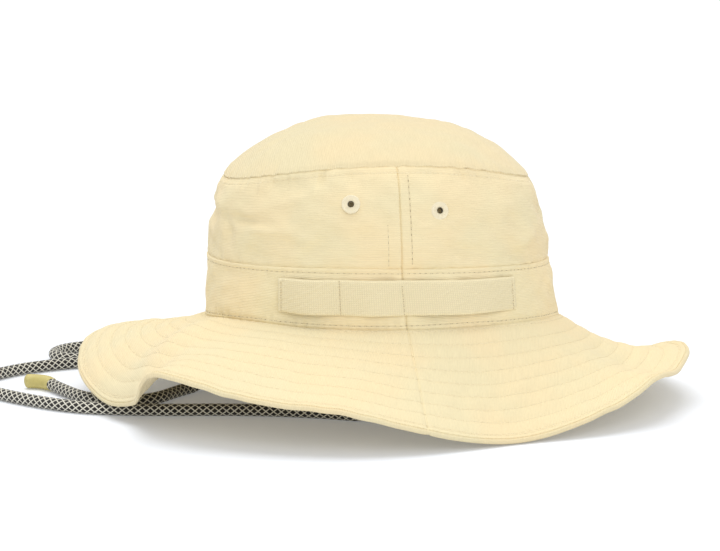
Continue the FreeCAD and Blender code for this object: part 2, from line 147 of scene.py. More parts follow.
# ---- plain surfaces
def at_stations(table, a):
    """A table's values at each azimuth: periodic cubic Hermite through its stations."""
    x = np.concatenate([table[:, 0] - 360.0, table[:, 0], table[:, 0] + 360.0])
    y = np.concatenate([table[:, 1:]] * 3)
    slope = np.gradient(y, x, axis=0)
    degrees = np.degrees(a)[..., None] % 360.0
    i = np.searchsorted(x, degrees[..., 0], side="right") - 1
    h = (x[i + 1] - x[i])[..., None]
    s = (degrees - x[i][..., None]) / h
    return ((1 + 2 * s) * (1 - s) ** 2 * y[i] + s * (1 - s) ** 2 * h * slope[i]
            + s * s * (3 - 2 * s) * y[i + 1] + s * s * (s - 1) * h * slope[i + 1])


def seam_z(a):
    return at_stations(SEAM, np.asarray(a))[..., 0]


def band_height(a):
    far_side = np.minimum(np.sin(a), 0.0)
    return 85.6 - 2.0 * np.cos(a) - 2.0 * np.cos(2 * a) - 4.0 * far_side ** 2 - seam_z(a)


def tip_seam_z(a):
    return 136.5 - 7.0 * np.cos(2 * a) - np.cos(a)


def oval(a, half_a, half_b, z, lean, offset):
    nx = np.cos(a) / CROWN_A
    ny = -np.sin(a) / CROWN_B
    length = np.hypot(nx, ny)
    x = lean + half_a * np.cos(a) + offset * nx / length
    y = -half_b * np.sin(a) + offset * ny / length
    return stacked(x, y, z)


def band_plain(a, s, offset):
    k = np.maximum(s, 0.0)
    half_a = CROWN_A + (BAND_TOP_A - CROWN_A) * k
    half_b = CROWN_B + (BAND_TOP_B - CROWN_B) * k
    return oval(a, half_a, half_b, seam_z(a) + band_height(a) * s, BAND_LEAN * k, offset)


def wall_plain(a, s, offset):
    k = np.maximum(s, 0.0)
    half_a = BAND_TOP_A + (TIP_A - BAND_TOP_A) * k ** 3 - np.sin(math.pi * k)
    half_b = BAND_TOP_B + (TIP_B - BAND_TOP_B) * k ** 3 + 0.5 * np.sin(math.pi * k)
    low = seam_z(a) + band_height(a)
    lean = BAND_LEAN + (TIP_LEAN - BAND_LEAN) * s
    return oval(a, half_a, half_b, low + (tip_seam_z(a) - low) * s, lean, offset)


def brim_plain(a, e, w):
    """Point e mm out along the cloth from the seam and w mm above the brim's middle; a is a column."""
    steps = 80
    at_seam, middle, at_edge = at_stations(BRIM, a[:, 0]).T[:, :, None]
    u = (np.arange(steps) + 0.5)[None, :] / steps
    angle = at_seam * 2 * (u - 0.5) * (u - 1) - 4 * middle * u * (u - 1) + at_edge * 2 * u * (u - 0.5)
    angle = np.radians(angle)
    zero = np.zeros((len(a), 1))
    step = BRIM_WIDTH / steps
    reach = np.concatenate([zero, np.cumsum(np.cos(angle), 1) * step], 1)
    drop = np.concatenate([zero, np.cumsum(np.sin(angle), 1) * step], 1)
    lean = np.concatenate([np.radians(at_seam), angle], 1)
    e = np.broadcast_to(e, (len(a), np.shape(e)[-1]))
    i = np.clip((e / step).astype(int), 0, steps - 1)
    k = e / step - i
    row = np.arange(len(a))[:, None]

    def at(table, share):
        return table[row, i] + share * (table[row, i + 1] - table[row, i])

    tilt = at(lean, np.clip(k, 0, 1)) * ease(e / BRIM_WIDTH / 0.12)
    out = 0.25 + at(reach, k) + w * np.sin(tilt)
    return oval(a, CROWN_A, CROWN_B, seam_z(a) - at(drop, k) + w * np.cos(tilt), 0.0, out)


# ---- the same surfaces with their folds and sewing
def along_crown(a):
    """Distance round the crown in mm, close enough for sewing."""
    return a * CROWN_MEAN


def side_distance(a):
    """Signed distance in mm from the nearer side seam, towards the front positive."""
    right = (math.pi / 2 - (a + math.pi / 2) % (2 * math.pi) + math.pi / 2) * CROWN_A
    left = (a % (2 * math.pi) - 1.5 * math.pi) * CROWN_A
    return np.where(np.abs(right) < np.abs(left), right, left)


def side_seam(a):
    """Relief of a side seam: a crease, with the seam allowance raised on each side of it."""
    d = np.abs(side_distance(a))
    return -0.75 * bump(d, 0.50) + 0.30 * bump(d - 3.4, 2.6)


def tip_seam_depth(a):
    """How sharply the tip seam is drawn in: most beside the side seams, softly elsewhere."""
    degrees = np.degrees(a) % 360.0
    sharp = bump(degrees - 97.0, 20.0) + bump(degrees - 275.0, 24.0)
    return 0.12 + 0.85 * sharp + 0.06 * pucker(along_crown(a), 30, 90, 15, 5)


# azimuth, share of height, half width, half height, depth, turn in degrees
WALL_FOLDS = (
    (146, 0.50, 20.0, 3.2, -1.5, 8),
    (139, 0.42, 18.0, 4.0, 1.0, 6),
    (158, 0.40, 9.0, 4.5, -1.2, 60),
    (116, 0.27, 10.0, 4.5, -1.1, -35),
    (102, 0.31, 6.0, 8.0, -1.0, 20),
    (97, 0.50, 5.0, 12.0, -0.7, 0),
    (67, 0.16, 12.0, 4.5, -1.3, 12),
    (60, 0.42, 11.0, 5.0, -0.8, -30),
    (45, 0.50, 8.0, 6.0, -1.1, 35),
    (38, 0.30, 10.0, 4.0, 0.9, -20),
    (117, 0.92, 2.6, 7.0, -0.9, 8),
    (113, 0.93, 2.2, 6.0, 0.6, 5),
    (128, 0.72, 16.0, 4.0, 0.8, -10),
    (20, 0.60, 16.0, 5.0, -1.2, 15),
    (-25, 0.45, 18.0, 5.0, -1.4, -12),
    (180, 0.55, 22.0, 5.0, -1.5, 5),
    (205, 0.35, 14.0, 5.0, -1.2, -25),
    (235, 0.60, 16.0, 4.5, -1.1, 18),
    (252, 0.30, 12.0, 5.0, -1.0, -15),
    (300, 0.45, 15.0, 4.5, -1.3, 20),
    (320, 0.62, 12.0, 5.0, 0.9, -20),
)


def wall_folds(a, s):
    total = np.zeros(np.broadcast(a, s).shape)
    for azimuth, share, wide, tall, depth, turn in WALL_FOLDS:
        x = ((np.degrees(a) - azimuth + 180.0) % 360.0 - 180.0) * math.radians(1.0) * WALL_MEAN
        y = (s - share) * WALL_HEIGHT
        c = math.cos(math.radians(turn))
        t = math.sin(math.radians(turn))
        total += depth * bump((x * c + y * t) / wide, 1.0) * bump((y * c - x * t) / tall, 1.0)
    return total


def wall(a, s, offset):
    """Crown wall: s = 0 at the band, 1 at the tip seam."""
    plain = wall_plain(a, s, 0.0)
    inside = ease(s / 0.14) * ease((1.0 - s) / 0.10)
    along = along_crown(a)
    relief = inside * (1.7 * ripple(plain, 26, 70, 11) + 0.55 * ripple(plain, 8, 18, 12))
    relief = relief + 2.2 * wall_folds(a, s) * ease(s / 0.08) * ease((1.04 - s) / 0.10)
    below_tip = (1.0 - s) * WALL_HEIGHT
    above_band = s * WALL_HEIGHT
    relief = relief + 0.34 * pucker(along, 5, 15, 13) * bump(below_tip, 7.0)
    relief = relief + 0.22 * pucker(along, 5, 14, 14) * bump(above_band, 5.0)
    relief = relief - 0.16 * bump(below_tip - 3.2, 0.8) - tip_seam_depth(a) * bump(below_tip, 1.1)
    relief = relief - 0.8 * bump(above_band, 1.2) + side_seam(a)
    return wall_plain(a, s, offset + relief)


def band(a, s, offset):
    """Band: s = 0 at the brim seam, 1 at its upper, folded edge."""
    plain = band_plain(a, s, 0.0)
    along = along_crown(a)
    height = band_height(a)
    above = s * height
    below = (1.0 - s) * height
    inside = ease(s / 0.2) * ease((1.0 - s) / 0.2)
    relief = inside * (0.9 * ripple(plain, 22, 60, 21) + 0.35 * ripple(plain, 7, 16, 22))
    relief = relief + 0.26 * pucker(along, 4, 11, 23) * bump(above - 2.0, 4.5)
    relief = relief + 0.20 * pucker(along, 4, 12, 24) * bump(below - 2.0, 4.0)
    relief = relief - 0.26 * bump(above - 2.7, 0.55) - 0.24 * bump(below - 2.3, 0.5)
    relief = relief - 0.8 * bump(np.minimum(above, 9.0), 0.9) + 0.42 * bump(below, 1.5) + side_seam(a)
    return band_plain(a, s, offset + relief)


def dome(x, y):
    u = (x - TIP_LEAN) / TIP_A
    v = y / TIP_B
    r = np.hypot(u, v)
    return CROWN_TOP - 25.0 * r ** 3 - 7.0 * r * (u * u - v * v) - r * r * u


def tip(a, r, offset):
    """Tip panel: r = 0 at its middle, 1 at its seam."""
    x = TIP_LEAN + TIP_A * r * np.cos(a)
    y = -TIP_B * r * np.sin(a)
    step = 0.05
    fall_x = (dome(x + step, y) - dome(x - step, y)) / (2 * step)
    fall_y = (dome(x, y + step) - dome(x, y - step)) / (2 * step)
    normal = stacked(-fall_x, -fall_y, 1.0)
    normal /= np.linalg.norm(normal, axis=-1, keepdims=True)
    plain = stacked(x, y, dome(x, y) + 0.6)
    from_seam = (1.0 - r) * (TIP_A + TIP_B) / 2
    relief = (1.2 * ripple(plain, 32, 85, 31) + 0.35 * ripple(plain, 9, 20, 32)) * ease(from_seam / 16.0)
    relief = relief + 0.32 * pucker(along_crown(a), 5, 15, 13) * bump(from_seam, 6.0)
    relief = relief - tip_seam_depth(a) * bump(np.maximum(from_seam, 0.0), 1.3)
    return plain + normal * (offset + relief)[..., None]


def quilt(e):
    """Distance from the brim's nearest row of sewing, and the height of the padded cloth there."""
    nearest = np.abs((e - FIRST_ROW + ROW_PITCH / 2) % ROW_PITCH - ROW_PITCH / 2)
    nearest = np.where(e > FIRST_ROW + ROW_PITCH * (ROWS - 1) + ROW_PITCH / 2, 9.0, nearest)
    nearest = np.minimum(nearest, np.abs(e - EDGE_ROW))
    return nearest, 0.34 * (1.0 - bump(nearest, 1.8)) + 0.10 * bump(nearest - 3.6, 2.0)


def brim_wave(a, e):
    """Slow bends of the whole brim, both plies together; none where it lies on the ground."""
    plain = brim_plain(a, e, 0.0)
    outer = ease(e / BRIM_WIDTH / 0.5) * ease((plain[..., 2] - 2.5) / 8.0)
    clear_of_cord = 1.0 - bump(np.degrees(a) % 360.0 - 165.0, 16.0)
    return outer * clear_of_cord * (0.8 * ripple(plain, 35, 95, 41) + 0.40 * ripple(plain, 12, 28, 42))


def brim_seam(a):
    """Relief of the brim's own side seams."""
    d = np.abs(side_distance(a))
    return -0.55 * bump(d, 0.5) + 0.15 * bump(d - 2.5, 2.0)


def brim(a, e, w, side=1.0):
    """Brim cloth w mm above (side 1) or below (side -1) the brim's middle."""
    nearest, height = quilt(e)
    along = a * (CROWN_MEAN + e)
    height = height + 0.11 * pucker(along, 3.0, 8.0, 43) * bump(nearest, 2.6)
    height = height + brim_seam(a) - 0.9 * bump(np.maximum(e, 0.0), 0.9)
    return brim_plain(a, e, brim_wave(a, e) + side * (w + ease(w / 0.5) * height))


# ---- meshes
def new_object(name, points, faces, uv, material):
    """Smooth-shaded mesh from points in mm; uv has one pair per point, in mm of cloth."""
    mesh = bpy.data.meshes.new(name)
    mesh.from_pydata(metres(points).tolist(), [], faces)
    layer = mesh.uv_layers.new(name="cloth")
    corner = np.empty(len(mesh.loops), np.int32)
    mesh.loops.foreach_get("vertex_index", corner)
    layer.data.foreach_set("uv", np.asarray(uv, np.float32)[corner].ravel())
    mesh.polygons.foreach_set("use_smooth", [True] * len(mesh.polygons))
    mesh.materials.append(material)
    mesh.update()
    obj = bpy.data.objects.new(name, mesh)
    bpy.context.scene.collection.objects.link(obj)
    return obj


def grid_faces(rows, columns, start=0, flip=False, wrap=False):
    i = np.arange(rows if wrap else rows - 1)[:, None]
    j = np.arange(columns - 1)[None, :]
    k = (i + 1) % rows
    quad = stacked(
        i * columns + j, i * columns + j + 1, k * columns + j + 1, k * columns + j).reshape(-1, 4) + start
    if flip:
        quad = quad[:, ::-1]
    return quad.tolist()


def open_cloth(name, grid, uv, material, flip=False):
    """One surface of cloth."""
    rows, columns = grid.shape[:2]
    faces = grid_faces(rows, columns, flip=flip)
    return new_object(name, grid.reshape(-1, 3), faces, uv.reshape(-1, 2), material)


def thick_cloth(name, outer, inner, uv, material, wrap=False):
    """Closed cloth between two grids of the same size."""
    rows, columns = outer.shape[:2]
    count = rows * columns
    faces = grid_faces(rows, columns, wrap=wrap) + grid_faces(rows, columns, count, flip=True, wrap=wrap)
    borders = [[i * columns for i in range(rows)], [i * columns + columns - 1 for i in range(rows)]]
    if wrap:
        borders = [border + border[:1] for border in borders]
    else:
        borders += [list(range(columns)), [(rows - 1) * columns + j for j in range(columns)]]
    for border in borders:
        faces += [[p, q, q + count, p + count] for p, q in zip(border, border[1:])]
    points = np.concatenate([outer.reshape(-1, 3), inner.reshape(-1, 3)])
    obj = new_object(name, points, faces, np.concatenate([uv.reshape(-1, 2)] * 2), material)
    tidy_normals(obj)
    return obj


def tidy_normals(obj):
    work = bmesh.new()
    work.from_mesh(obj.data)
    bmesh.ops.recalc_face_normals(work, faces=work.faces)
    work.to_mesh(obj.data)
    work.free()


def hat_piece(obj, nodes):
    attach(obj, "hat")
    if nodes:
        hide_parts(*nodes)
    return obj


def azimuths(first, last, step):
    """Column of azimuths in radians, closer together beside the side seams."""
    count = int(round((last - first) / step)) + 1
    even = np.linspace(first, last, count)
    near = np.array([0.08, 0.16, 0.26, 0.38, 0.55])
    angles = np.unique(np.concatenate([even, first + near, last - near]))
    return np.radians(angles)[:, None]


def crown_uv(a, height):
    return stacked(along_crown(a), height)


# ---- materials
class Graph:
    """A material's node tree."""

    def __init__(self, name, roughness=0.9, sheen=0.0, specular=0.3):
        self.material = bpy.data.materials.new(name)
        self.material.use_nodes = True
        self.tree = self.material.node_tree
        self.shader = self.tree.nodes["Principled BSDF"]
        self.shader.inputs["Roughness"].default_value = roughness
        self.shader.inputs["Specular IOR Level"].default_value = specular
        self.shader.inputs["Sheen Weight"].default_value = sheen
        self.shader.inputs["Sheen Roughness"].default_value = 0.5

    def add(self, kind, **settings):
        node = self.tree.nodes.new(kind)
        for key, value in settings.items():
            setattr(node, key, value)
        return node

    def put(self, socket, value):
        if isinstance(value, bpy.types.NodeSocket):
            self.tree.links.new(value, socket)
        else:
            socket.default_value = value

    def math(self, operation, *values):
        node = self.add("ShaderNodeMath", operation=operation)
        for socket, value in zip(node.inputs, values):
            self.put(socket, value)
        return node.outputs[0]

    def uv(self):
        split = self.add("ShaderNodeSeparateXYZ")
        source = self.add("ShaderNodeUVMap", uv_map="cloth")
        self.put(split.inputs[0], source.outputs[0])
        return split.outputs[0], split.outputs[1]

    def vector(self, x, y, z=0.0):
        node = self.add("ShaderNodeCombineXYZ")
        for socket, value in zip(node.inputs, (x, y, z)):
            self.put(socket, value)
        return node.outputs[0]

    def place(self):
        return self.add("ShaderNodeTexCoord").outputs["Object"]

    def noise(self, vector, scale, detail=2.0):
        node = self.add("ShaderNodeTexNoise")
        self.put(node.inputs["Vector"], vector)
        node.inputs["Scale"].default_value = scale
        node.inputs["Detail"].default_value = detail
        return node.outputs["Fac"]

    def linear(self, value, factor, offset):
        return self.math("MULTIPLY_ADD", value, factor, offset)

    def times(self, first, second):
        return self.math("MULTIPLY", first, second)

    def wave(self, along, pitch):
        """Sine of a length in mm, from 0 to 1, with one period each pitch mm."""
        turn = self.math("MULTIPLY", along, 2 * math.pi / pitch)
        return self.math("MULTIPLY_ADD", self.math("SINE", turn), 0.5, 0.5)

    def mix(self, share, first, second, blend="MIX"):
        node = self.add("ShaderNodeMix", data_type="RGBA", blend_type=blend)
        self.put(node.inputs[0], share)
        self.put(node.inputs[6], first)
        self.put(node.inputs[7], second)
        return node.outputs[2]

    def shaded(self, colour, shade):
        """A colour multiplied by a grey."""
        return self.mix(1.0, colour, self.vector(shade, shade, shade), "MULTIPLY")

    def ramp(self, value, low, high):
        node = self.add("ShaderNodeMapRange", interpolation_type="SMOOTHSTEP")
        self.put(node.inputs["Value"], value)
        node.inputs["From Min"].default_value = low
        node.inputs["From Max"].default_value = high
        return node.outputs[0]

    def relief(self, height, distance, strength):
        node = self.add("ShaderNodeBump")
        node.inputs["Strength"].default_value = strength
        node.inputs["Distance"].default_value = distance
        self.put(node.inputs["Height"], height)
        self.put(self.shader.inputs["Normal"], node.outputs[0])

    def colour(self, value):
        self.put(self.shader.inputs["Base Color"], value)


def scaled(colour, factor):
    return tuple(c * factor for c in colour[:3]) + (1.0,)


# the canvas varies between these
WARM = (0.838, 0.698, 0.432, 1.0)
COOL = (0.800, 0.700, 0.446, 1.0)


def canvas(name, painted_light_factor, ribs="v"):
    """Fine-ribbed cotton canvas; the ribs are lines of constant u or v, painted darker in their valleys as shade.
    The second argument is painted light and shade: it makes the whole piece lighter or darker for how light falls
    on it.
    """
    g = Graph(name, roughness=0.92, sheen=0.12, specular=0.2)
    u, v = g.uv()
    across, lengthwise = (v, u) if ribs == "v" else (u, v)
    wander = g.noise(g.vector(g.times(lengthwise, 0.05), g.times(across, 0.05)), 1.0, 1.0)
    across = g.linear(wander, 0.5, across)
    rib = g.wave(across, 0.9)
    thread = g.wave(lengthwise, 0.62)
    slub = g.noise(g.vector(g.times(lengthwise, 0.10), g.times(across, 1.25)), 1.0, 3.0)
    fleck = g.noise(g.vector(g.times(lengthwise, 0.9), g.times(across, 1.3)), 1.0, 2.0)
    height = g.linear(thread, 0.25, rib)
    height = g.linear(slub, 0.5, height)
    height = g.linear(fleck, 0.5, height)
    tone = g.noise(g.place(), 26.0, 2.0)
    colour = g.mix(g.ramp(tone, 0.32, 0.68), scaled(WARM, painted_light_factor), scaled(COOL, painted_light_factor))
    # Painted shade: the colour darkens in the rib valleys, following the ribs' relief; the slub streaks are the
    # yarn's own tone.
    valley_shade = g.linear(rib, 0.055, 0.945)
    streak = g.linear(g.ramp(slub, 0.3, 0.75), 0.045, 0.965)
    shade = g.times(valley_shade, streak)
    g.colour(g.shaded(colour, shade))
    g.relief(height, 0.00022, 0.55)
    return g.material


def twill(name, colour, pitch=1.3, slant=1.0):
    g = Graph(name, roughness=0.9, sheen=0.1, specular=0.2)
    u, v = g.uv()
    rib = g.wave(g.linear(u, slant, v), pitch)
    fleck = g.noise(g.vector(u, v), 1.1, 3.0)
    # Painted shade: the colour darkens in the twill's grooves, following its relief, together with the flecks' own
    # random tone.
    shade = g.linear(g.linear(fleck, 0.6, rib), 0.09, 0.88)
    g.colour(g.shaded(colour, shade))
    g.relief(g.linear(fleck, 0.6, rib), 0.00025, 0.7)
    return g.material


def webbing_cloth():
    """Plain woven tape with a square weave grid, painted darker between the threads as shade, and paler selvedges.
    """
    g = Graph("webbing", roughness=0.85, sheen=0.1, specular=0.25)
    u, v = g.uv()
    grid = g.times(g.wave(u, WARP_PITCH), g.wave(v, WEFT_PITCH))
    fleck = g.noise(g.vector(u, v), 0.9, 3.0)
    # Painted shade: the colour darkens between the weave's threads, following the grid's relief; the flecks are the
    # yarn's own tone.
    shade = g.linear(grid, 0.15, 0.87)
    shade = g.times(shade, g.linear(fleck, 0.10, 0.95))
    from_edge = g.math("PINGPONG", v, WEBBING_WIDTH / 2)
    selvedge = g.linear(g.ramp(from_edge, 0.8, 1.5), -0.08, 1.10)
    shade = g.times(shade, selvedge)
    g.colour(g.shaded((0.815, 0.715, 0.465, 1.0), shade))
    g.relief(g.linear(fleck, 0.4, grid), 0.00025, 0.7)
    return g.material


def felt(name, colour):
    g = Graph(name, roughness=0.95, sheen=0.1, specular=0.15)
    fleck = g.noise(g.place(), 900.0, 4.0)
    shade = g.linear(fleck, 0.2, 0.88)
    g.colour(g.shaded(colour, shade))
    g.relief(fleck, 0.0002, 0.6)
    return g.material


def thread_material(name, colour, hole):
    """Spun sewing thread; v runs from 0 to 1 along each stitch; its ends take the last colour as painted shade in
    the needle holes, and the twist's grooves are painted darker as shade.
    """
    g = Graph(name, roughness=0.8, sheen=0.1, specular=0.25)
    u, v = g.uv()
    twist = g.wave(g.linear(v, 3.0, u), 0.55)
    tone = g.noise(g.place(), 300.0, 2.0)
    # Painted shade in the twist's grooves, times the thread's own random tone.
    shade = g.times(g.linear(twist, 0.10, 0.90), g.linear(tone, 0.12, 0.94))
    # The stitch ends take the hole colour: painted shade in the needle holes.
    from_end = g.math("PINGPONG", v, 0.5)
    body = g.shaded(colour, shade)
    g.colour(g.mix(g.ramp(from_end, 0.05, 0.17), hole, body))
    g.relief(twist, 0.00008, 0.8)
    return g.material


DIAMONDS_ROUND = 6
DIAMOND_LENGTH = 4.5       # mm along the cord
LATTICE = 0.105            # half width of a cream line, as a share of a diamond's side


def braid_material():
    """Black diamonds in a cream lattice; u is the share of a turn and v the length in mm."""
    g = Graph("braided_cord", roughness=0.7, sheen=0.15, specular=0.35)
    u, v = g.uv()
    turn = g.times(u, DIAMONDS_ROUND)
    advance = g.times(v, 1.0 / DIAMOND_LENGTH)
    one = g.math("PINGPONG", g.math("ADD", turn, advance), 0.5)
    other = g.math("PINGPONG", g.math("SUBTRACT", turn, advance), 0.5)
    nearest = g.math("MINIMUM", one, other)
    dark = g.ramp(nearest, LATTICE - 0.045, LATTICE + 0.045)
    fibre = g.noise(g.vector(g.times(u, 60.0), g.times(v, 1.2)), 1.0, 3.0)
    strand = g.wave(g.linear(u, 22.0, g.times(v, 1.0)), 0.62)
    # Painted shade: the cream darkens between the strands, following their relief, with the fibre noise's own tone.
    shade = g.linear(strand, 0.18, g.linear(fibre, 0.35, 0.62))
    cream = g.shaded((0.90, 0.865, 0.730, 1.0), shade)
    black = g.mix(fibre, (0.006, 0.005, 0.004, 1.0), (0.024, 0.020, 0.016, 1.0))
    g.colour(g.mix(dark, cream, black))
    g.relief(g.linear(fibre, 0.6, strand), 0.00012, 0.8)
    return g.material


def rubber_material():
    g = Graph("cord_tip_rubber", roughness=0.5, specular=0.45)
    along = g.uv()[1]
    tone = g.noise(g.place(), 260.0, 3.0)
    g.colour(g.mix(tone, (0.520, 0.430, 0.130, 1.0), (0.640, 0.560, 0.220, 1.0)))
    g.relief(g.linear(tone, 0.4, g.wave(along, 0.9)), 0.00012, 0.6)
    return g.material


def plastic_material():
    g = Graph("lock_plastic", roughness=0.45, specular=0.5)
    grain = g.noise(g.place(), 1800.0, 3.0)
    g.colour(g.mix(grain, (0.018, 0.018, 0.019, 1.0), (0.034, 0.033, 0.032, 1.0)))
    g.relief(grain, 0.00004, 0.7)
    return g.material


def steel_material():
    g = Graph("spring_steel", roughness=0.3, specular=0.5)
    g.shader.inputs["Metallic"].default_value = 1.0
    scratch = g.noise(g.place(), 2500.0, 2.0)
    g.colour(g.mix(scratch, (0.50, 0.50, 0.50, 1.0), (0.72, 0.72, 0.71, 1.0)))
    return g.material


# The second argument of each canvas is painted light and shade: the same canvas is made lighter or darker piece by
# piece, for how light falls on it (darker on the tip and under the brim, lighter on the band and upper brim).
CROWN_CANVAS = canvas("crown_canvas", 1.02, "v")
BAND_CANVAS = canvas("band_canvas", 1.06, "v")
BRIM_CANVAS = canvas("brim_canvas", 1.04, "u")
UNDER_CANVAS = canvas("under_brim_canvas", 0.97, "u")
TIP_CANVAS = canvas("tip_canvas", 0.97, "v")
WEBBING_CLOTH = webbing_cloth()
SWEATBAND_TWILL = twill("sweatband_twill", (0.80, 0.70, 0.48, 1.0))
TAPE_CLOTH = twill("seam_tape", (0.82, 0.72, 0.50, 1.0), 0.8, 0.0)
FELT = felt("interlining", (0.80, 0.79, 0.74, 1.0))
# The last colour of each thread is painted shade, at the stitch ends in the needle holes.
THREAD = thread_material("sewing_thread", (0.800, 0.690, 0.450, 1.0), (0.230, 0.150, 0.060, 1.0))
# Its last, nearly black colour is painted shade down in the eyelets' holes.
EYELET_THREAD = thread_material("eyelet_thread", (0.860, 0.770, 0.560, 1.0), (0.060, 0.040, 0.018, 1.0))
QUILT_THREAD = thread_material("quilting_thread", (0.890, 0.775, 0.520, 1.0), (0.770, 0.640, 0.400, 1.0))
BRAID = braid_material()
RUBBER = rubber_material()
PLASTIC = plastic_material()
STEEL = steel_material()


# ---- brim
def lip(centre_e, centre_w, radius, first, last, count=7):
    """Rolled edge: points round a circle between two angles, 90 being straight up."""
    turn = np.radians(np.linspace(first, last, count))
    return centre_e + radius * np.cos(turn), centre_w + radius * np.sin(turn)


def brim_ply(name, span, side, material, nodes):
    """Upper (side 1) or under (side -1) cloth of half the brim, from the seam over its own rolled edge."""
    a = azimuths(*span, 0.36)
    if side > 0:
        flat = np.arange(-0.9, 77.2, 0.72)
        e_lip, w_lip = lip(77.45, 0.35, 0.8, 90, -60)
        level = 1.15
    else:
        flat = np.arange(-1.2, 79.0, 0.80)
        e_lip, w_lip = lip(79.0, 0.15, 1.25, 90, -165, 11)
        level = 1.40
    e = np.concatenate([flat, e_lip])[None, :]
    w = np.concatenate([np.full(len(flat), level), w_lip])[None, :]
    if side > 0:
        w = np.where(e < 0.5, w - 0.2, w)
    grid = brim(a, e, w, side)
    flat_u = (CROWN_A + e) * np.cos(a)
    flat_v = -(CROWN_B + e) * np.sin(a)
    obj = open_cloth(name, grid, np.stack([flat_u, flat_v], -1), material, flip=side > 0)
    hat_piece(obj, nodes)
    return obj


def brim_interlining(name, span, node):
    a = azimuths(*span, 2.0)
    e = np.linspace(1.0, 76.0, 26)[None, :]
    top = brim_plain(a, e, brim_wave(a, e) + 0.2)
    low = brim_plain(a, e, brim_wave(a, e) - 0.2)
    uv = np.stack([(CROWN_A + e) * np.cos(a), -(CROWN_B + e) * np.sin(a)], -1)
    return hat_piece(thick_cloth(name, top, low, uv, FELT), [node])


def make_brim():
    for half, span in HALVES:
        brim_ply("upper_brim_cloth_" + half, span, 1.0, BRIM_CANVAS, ["upper_brim_" + half])
        brim_ply("under_brim_cloth_" + half, span, -1.0, UNDER_CANVAS, ["under_brim_" + half])
        brim_interlining("interlining_sheet_" + half, span, "brim_interlining_" + half)


# ---- crown
def piercings(points):
    """True for points inside an eyelet's hole."""
    inside = np.zeros(len(points), bool)
    for _, azimuth, share in EYELETS:
        for side in (azimuth, 360.0 - azimuth):
            a = np.radians([[side]])
            centre = wall(a, np.array([[share]]), np.zeros((1, 1)))[0, 0]
            inside |= np.linalg.norm(points - centre, axis=1) < EYELET_HOLE_R + 0.9
    return inside


def pierce(obj):
    """Takes out the cloth in the eyelets' holes."""
    work = bmesh.new()
    work.from_mesh(obj.data)
    points = np.array([f.calc_center_median()[:] for f in work.faces]) * 1000.0 - ORIGIN_SHIFT
    doomed = [f for f, gone in zip(work.faces, piercings(points)) if gone]
    bmesh.ops.delete(work, geom=doomed, context="FACES")
    work.to_mesh(obj.data)
    work.free()


def crown_rows(low, high, step, length):
    """Shares of a height of length mm, about step mm apart."""
    return np.linspace(low, high, int((high - low) * length / step) + 1)


def make_wall():
    for half, span in HALVES:
        a = azimuths(*span, 0.5)
        middle = crown_rows(0.005, 0.985, 0.8, WALL_HEIGHT)
        s = np.concatenate([[-0.07, -0.05, -0.03, -0.01], middle, [0.992, 0.998, 1.004]])[None, :]
        tuck = -0.8 * ease(-s / 0.03) - 0.5 * ease((s - 0.975) / 0.03) * (0.3 + 0.7 * tip_seam_depth(a))
        outer = wall(a, s, tuck)
        inner = wall(a, s, tuck - FABRIC)
        uv = crown_uv(a, 90.0 + WALL_HEIGHT * s)
        obj = thick_cloth("crown_wall_cloth_" + half, outer, inner, uv, CROWN_CANVAS)
        pierce(obj)
        hat_piece(obj, ["crown_wall_" + half])


def make_band():
    for half, span in HALVES:
        a = azimuths(*span, 0.5)
        middle = crown_rows(-0.01, 0.985, 0.7, BAND_HEIGHT)
        s = np.concatenate([[-0.03], middle, [0.995, 1.003, 1.010, 1.014]])[None, :]
        tuck = -0.9 * ease((s - 0.99) / 0.024) - 0.2 * ease(-s / 0.03)
        outer = band(a, s, tuck + 0.15)
        inner = band(a, s, np.minimum(tuck, -0.2) - FABRIC + 0.2)
        uv = crown_uv(a, band_height(a) * s)
        obj = thick_cloth("hat_band_cloth_" + half, outer, inner, uv, BAND_CANVAS)
        hat_piece(obj, ["hat_band_" + half])


def make_tip():
    a = np.radians(np.arange(0.0, 360.0, 0.6))[:, None]
    r = np.concatenate([[0.004], np.linspace(0.012, 0.985, 96), [0.991, 0.996, 1.0]])[None, :]
    tuck = -0.75 * ease((r - 0.965) / 0.035) * (0.55 + 0.45 * tip_seam_depth(a))
    outer = tip(a, r, 0.65 + tuck)
    inner = tip(a, r, tuck - 0.45)
    uv = np.stack([outer[..., 1], outer[..., 0]], -1)
    obj = thick_cloth("crown_tip_cloth", outer, inner, uv, TIP_CANVAS, wrap=True)
    hat_piece(obj, ["crown_tip"])


# ---- inside the crown
def lining(name, span, rows, thick, material, node, rim=0.25):
    """Strip of cloth behind the crown; rows are (surface, share) pairs from its lower to its upper edge."""
    a = np.radians(np.linspace(*span))[:, None]
    last = len(rows) - 1
    outer = []
    inner = []
    for k, (surface, share) in enumerate(rows):
        edge = rim if k in (0, last) else 0.0
        s = np.full((1, 1), share)
        outer.append(surface(a, s, np.full(a.shape, LINING_OFFSET - edge)))
        inner.append(surface(a, s, np.full(a.shape, LINING_OFFSET - thick + edge)))
    outer = np.concatenate(outer, 1)
    inner = np.concatenate(inner, 1)
    height = np.array([(BAND_HEIGHT if f is band else WALL_HEIGHT) * s for f, s in rows])[None, :]
    obj = thick_cloth(name, outer, inner, crown_uv(a, height), material)
    return hat_piece(obj, [node])


def rows_on(surface, *places):
    """(surface, share) pairs for lining."""
    return [(surface, s) for s in places]


